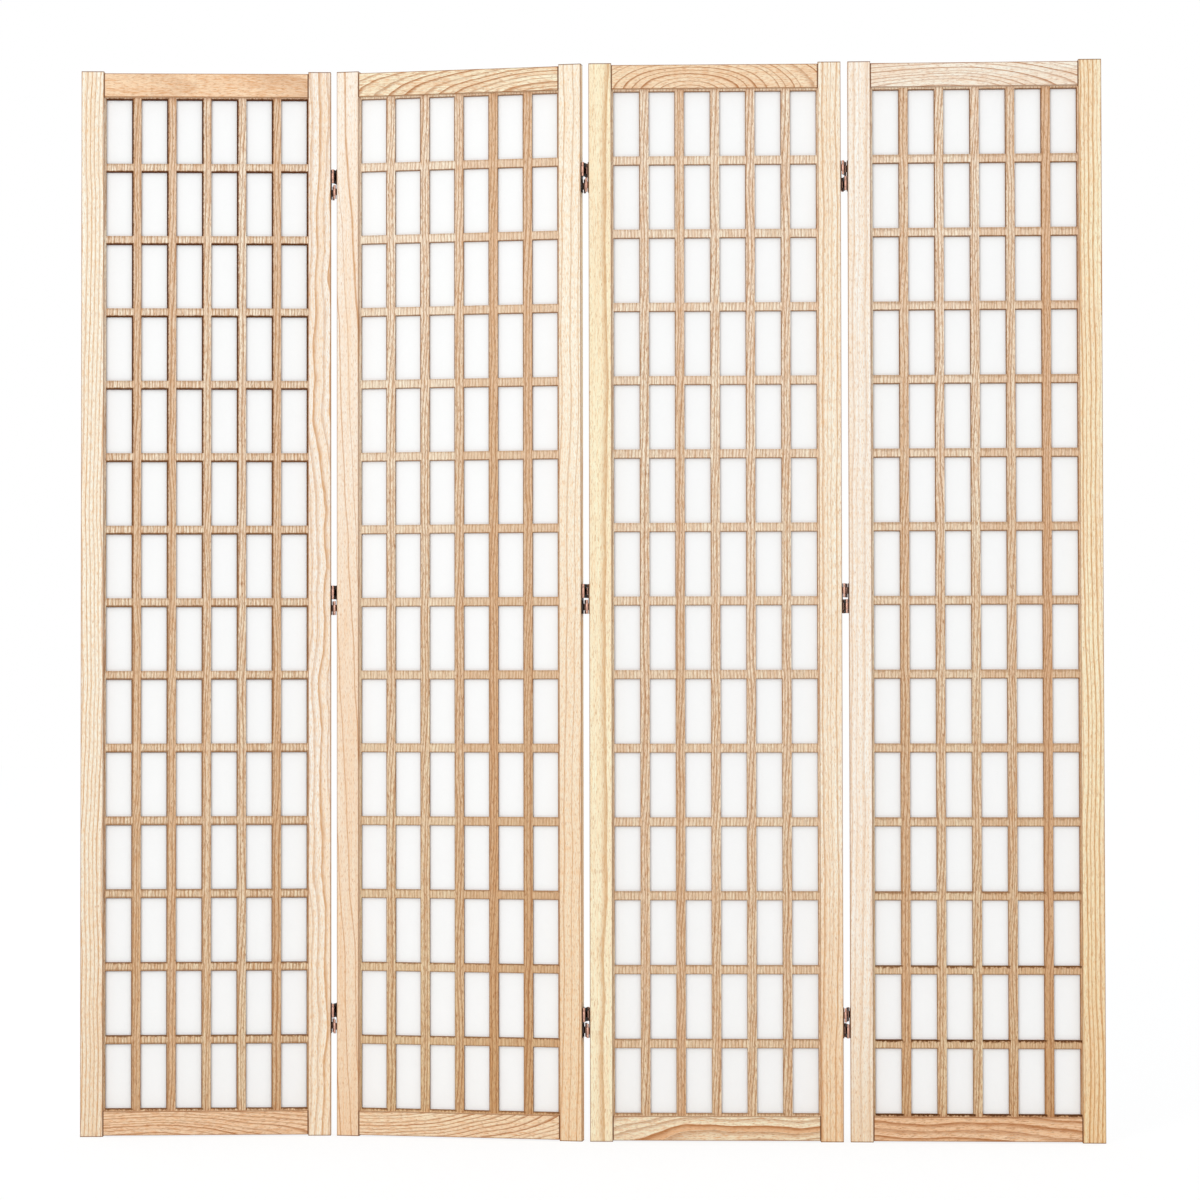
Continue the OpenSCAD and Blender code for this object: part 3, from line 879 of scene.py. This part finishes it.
# Hinges
metalLook = {
    # the near-black bronze is partly painted shade; the copper and the worn colour on the barrels are
    # copper plating and scratches under a painted sheen
    "dark": (0.008, 0.005, 0.004, 1),
    "copperSheen": (0.66, 0.38, 0.29, 1),
    "worn": (0.80, 0.55, 0.45, 1),
    "copperShares": {"leaf": 0.9, "link": 0.8, "pin": 0.7, "screw": 0.6},
    "barrelReach": (0.0019, 0.0027),
    "patchScale": 900.0,
    "patchShare": 0.12,
    "scratchScales": (6000, 6000, 700),
    "roughness": 0.28,
    "scratchRoughness": 0.25,
}


# Dark bronze plating, finely scratched: near black in the flats, partly the plating and partly painted
# shade of the narrow gaps; copper on the barrels and in rubbed patches, partly the plating and partly a
# painted sheen on the barrels' round faces
def bronzeMaterial(kind, gap, place, pinA, pinB):
    look = metalLook
    material, tree, shader = startMaterial(f"{kind}_bronze_{gap}_{place}")
    vector = coordinates(tree, "Object")
    reach = placeGroup(tree, pinDistance, {"Vector": vector, "Pin A": pinA, "Pin B": pinB})["Distance"]
    # painted sheen: copper on the round barrels near the pins, over the plating; the patches add real wear
    barrel = ramp(tree, reach, *look["barrelReach"], 1.0, 0.0)
    patches = noise(tree, vector, look["patchScale"], 3.0, 0.6)
    scratches = stretchedNoise(tree, vector, look["scratchScales"])
    paintedLightAndWear = times(tree, barrel, ramp(tree, patches, 0.2, 0.55, 0.75, 1.0))
    paintedLightAndWear = larger(tree, paintedLightAndWear, times(tree, ramp(tree, patches, 0.55, 0.75), look["patchShare"]))
    color = coat(tree, look["dark"], paintedLightAndWear, look["copperShares"][kind], look["copperSheen"])
    color = coat(tree, color, ramp(tree, scratches, 0.6, 0.8), times(tree, paintedLightAndWear, 0.5), look["worn"])
    roughness = plus(tree, times(tree, scratches, look["scratchRoughness"]), look["roughness"])
    finishShader(tree, shader, {"Height": scratches, "Strength": 0.2, "Distance": 0.00005}, {
        "Base Color": color, "Roughness": roughness, "Metallic": 1.0})
    return material


# The pins stand outside the edge of a stile, one level with its front and one with its back. The
# screws of a leaf sit in two pairs, in its upper and its lower half, on the side away from the knuckle.
hingeLook = {
    "pinOut": 0.0035,
    "screwDepth": 0.0025,
    "screwRise": 0.0125,
    "screwStep": 0.006,
    "leafRounding": 0.00012,
    "linkRounding": 0.00015,
}


# The panel on one side of a gap
def panelBeside(gap, side):
    return gap if side == "left" else gap + 1


# The front and the back pin on one side of a gap, in the row frame
def pinPlaces(gap, side):
    x = screen["panelWidth"] + hingeLook["pinOut"] if side == "left" else -hingeLook["pinOut"]
    ends = np.array([[x, -halfThickness, 0.0], [x, halfThickness, 0.0]])
    return [tuple(point) for point in fromPanel(panelBeside(gap, side), ends)]


screwLook = {
    "faceRings": (0.0001, 0.00045, 0.0009, 0.0013, 0.0016, 0.0021, 0.0024),
    "headDepth": 0.0012,
    "shankRadius": 0.0012,
    "shankRings": 22,
    "tipRadius": 0.0003,
    "length": 0.014,
    "point": 0.003,
    "threadStart": 0.001,
    "threadDepth": 0.00012,
    "threadPitch": 0.0012,
    "crossHalf": 0.00044,
    "crossReach": 0.00135,
    "crossDepth": 0.0007,
    "around": 28,
    "seed": 70,
}


# A countersunk screw along x with its head at x = -headDepth: a lathe profile whose head is pressed in
# by a cross, and whose shank carries a thread as a small sine that climbs once a turn
def screwShape():
    look = screwLook
    tip = look["length"] - look["headDepth"]
    face = np.array(look["faceRings"])
    shank = np.linspace(0.0, tip, look["shankRings"])
    body = np.interp(shank, [tip - look["point"], tip], [look["shankRadius"], look["tipRadius"]])
    depth = np.concatenate((np.full(len(face), -look["headDepth"]), shank))
    radius = np.concatenate((face, body))
    turn = np.linspace(0, 2 * np.pi, look["around"], endpoint=False)
    x, angle = np.meshgrid(depth, turn, indexing="ij")
    wave = look["threadDepth"] * np.sin(angle + 2 * np.pi * x / look["threadPitch"])
    r = radius[:, None] - np.abs(np.where(x > look["threadStart"], wave, 0))
    y, z = r * np.cos(angle), r * np.sin(angle)
    near = np.minimum(np.abs(y), np.abs(z))
    far = np.maximum(np.abs(y), np.abs(z))
    pressed = (x == -look["headDepth"]) & (near < look["crossHalf"]) & (far < look["crossReach"])
    x = np.where(pressed, x + look["crossDepth"], x)
    index = np.arange(x.size).reshape(x.shape)
    faces = gridFaces(np.column_stack((index, index[:, 0])))
    faces.append(index[0].tolist())
    faces.append(index[-1][::-1].tolist())
    return np.stack((x, y, z), axis=-1).reshape(-1, 3), faces


# Turns points about the x axis
def turnedAboutX(points, angle):
    c, s = np.cos(angle), np.sin(angle)
    x, y, z = points.T
    return np.stack((x, c * y - s * z, s * y + c * z), axis=-1)


# The screws of one leaf set: twelve copies of the shape, each turned a little about its own axis
def screwSet(gap, side):
    look = hingeLook
    rng = np.random.default_rng(screwLook["seed"] + gap * 2 + (side == "right"))
    shape, shapeFaces = screwShape()
    allPoints, allFaces = [], []
    for height, half, step in product(screen["hingeHeights"], (-1, 1), (-1, 1)):
        screw = turnedAboutX(shape, rng.uniform(0, np.pi / 2))
        z = height + half * look["screwRise"] + step * look["screwStep"]
        screw = screw + np.array([0.0, -half * look["screwDepth"], z])
        if side == "left":
            screw = screw * np.array([-1, -1, 1]) + np.array([screen["panelWidth"], 0, 0])
        offset = len(shape) * len(allPoints)
        allPoints.append(fromPanel(panelBeside(gap, side), screw))
        allFaces.extend([[corner + offset for corner in face] for face in shapeFaces])
    piece = newPiece(f"hinge_{gap}_{side}_screw_heads", np.concatenate(allPoints), allFaces)
    piece.modifiers.new("joined", "WELD").merge_threshold = 0.000001
    return piece


for gap in gapNumbers:
    pins = {side: pinPlaces(gap, side) for side in ("left", "right")}
    for side, ends in pins.items():
        leaves = paint(f"hinge_{gap}_{side}_leaves", bronzeMaterial("leaf", gap, side, *ends))
        softenEdges(leaves, hingeLook["leafRounding"])
        paint(f"hinge_{gap}_{side}_pins", bronzeMaterial("pin", gap, side, *ends))
        screws = screwSet(gap, side)
        screws.data.materials.append(bronzeMaterial("screw", gap, side, *ends))
        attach(screws, f"panel_{panelBeside(gap, side)}")
        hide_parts(f"hinge_{gap}_{side}_screws")
    (leftFront, leftBack), (rightFront, rightBack) = pins.values()
    for level, ends in (("upper", (leftFront, rightBack)), ("lower", (leftBack, rightFront))):
        links = paint(f"hinge_{gap}_{level}_links", bronzeMaterial("link", gap, level, *ends))
        softenEdges(links, hingeLook["linkRounding"])
print("hinges are finished")


# Floor, light and camera
stageLook = {
    "floorColor": (0.80, 0.80, 0.80, 1),
    "floorRoughness": 0.9,
    "floorLift": 0.75,
    "floorGlow": 1.095,
    "floorSize": 40.0,
    "worldColor": (0.97, 0.985, 1.0, 1),
    "worldStrength": 0.88,
    "keyColor": (1.0, 0.985, 0.96),
    "keyPower": 405.0,
    "keySize": 3.6,
    "keyPlace": (-5.2, -11.0, 3.4),
    "keyAim": (0.0, 0.0, 0.9),
}


# Mask of the rays that see the background as plain white: camera, glossy and transmission rays
def seenDirectly(tree):
    rays = addNode(tree, "ShaderNodeLightPath").outputs
    through = larger(tree, rays["Is Glossy Ray"], rays["Is Transmission Ray"])
    return larger(tree, rays["Is Camera Ray"], through)


# A wide pale floor that glows a little for the rays that see it, so that it stays white and keeps
# the shadow
def makeFloor():
    half = stageLook["floorSize"] / 2
    points = np.array([[-half, -half, 0], [half, -half, 0], [half, half, 0], [-half, half, 0]])
    floor = newPiece("floor", points, [[0, 1, 2, 3]], smooth=False)
    material, tree, shader = startMaterial("floor_white")
    fillSockets(tree, shader, {
        "Base Color": stageLook["floorColor"], "Roughness": stageLook["floorRoughness"]})
    glow = addNode(tree, "ShaderNodeEmission", {"Color": (1, 1, 1, 1), "Strength": stageLook["floorGlow"]})
    share = times(tree, seenDirectly(tree), stageLook["floorLift"])
    mixed = addNode(tree, "ShaderNodeMixShader", {0: share, 1: shader.outputs[0], 2: glow.outputs[0]})
    tree.links.new(mixed.outputs[0], tree.nodes["Material Output"].inputs[0])
    floor.data.materials.append(material)


# Soft white light from all round, seen as plain white
def makeWorld():
    world = bpy.data.worlds.new("studio")
    bpy.context.scene.world = world
    world.use_nodes = True
    tree = world.node_tree
    tree.nodes.clear()
    light = {"Color": stageLook["worldColor"], "Strength": stageLook["worldStrength"]}
    soft = addNode(tree, "ShaderNodeBackground", light).outputs[0]
    white = addNode(tree, "ShaderNodeBackground", {"Color": (1, 1, 1, 1), "Strength": 1.0}).outputs[0]
    mixed = addNode(tree, "ShaderNodeMixShader", {0: seenDirectly(tree), 1: soft, 2: white})
    ending = addNode(tree, "ShaderNodeOutputWorld")
    tree.links.new(mixed.outputs[0], ending.inputs[0])


# One large soft light, high on the left in front
def makeKey():
    light = bpy.data.lights.new("key", "AREA")
    light.energy = stageLook["keyPower"]
    light.size = stageLook["keySize"]
    light.color = stageLook["keyColor"]
    lamp = bpy.data.objects.new("key", light)
    lamp.location = stageLook["keyPlace"]
    aim = Vector(stageLook["keyAim"]) - lamp.location
    lamp.rotation_euler = aim.to_track_quat("-Z", "Y").to_euler()
    bpy.context.scene.collection.objects.link(lamp)


# Turns are in degrees; the focal length is in pixels of the photograph, which is 1200 wide
cameraLook = {
    "place": (0.330, -5.327, 0.740),
    "pan": 3.34,
    "tilt": 1.20,
    "roll": -0.10,
    "focalPixels": 3365,
    "photoWidth": 1200.0,
    "sensorWidth": 36.0,
    "farthest": 60.0,
}


# Camera of the photograph: a long lens a little right of the middle, tilted slightly up
def makeCamera():
    look = cameraLook
    camera = bpy.data.cameras.new("photo_view")
    camera.sensor_fit = "HORIZONTAL"
    camera.sensor_width = look["sensorWidth"]
    camera.lens = look["sensorWidth"] * look["focalPixels"] / look["photoWidth"]
    camera.clip_end = look["farthest"]
    view = bpy.data.objects.new("photo_view", camera)
    turn = (Matrix.Rotation(math.radians(look["pan"]), 3, "Z")
            @ Matrix.Rotation(math.radians(90 + look["tilt"]), 3, "X")
            @ Matrix.Rotation(math.radians(look["roll"]), 3, "Z"))
    view.rotation_euler = turn.to_euler()
    view.location = look["place"]
    bpy.context.scene.collection.objects.link(view)
    bpy.context.scene.camera = view


makeFloor()
makeWorld()
makeKey()
makeCamera()
bpy.context.scene.view_settings.view_transform = "Standard"
print("floor, light and camera are set")
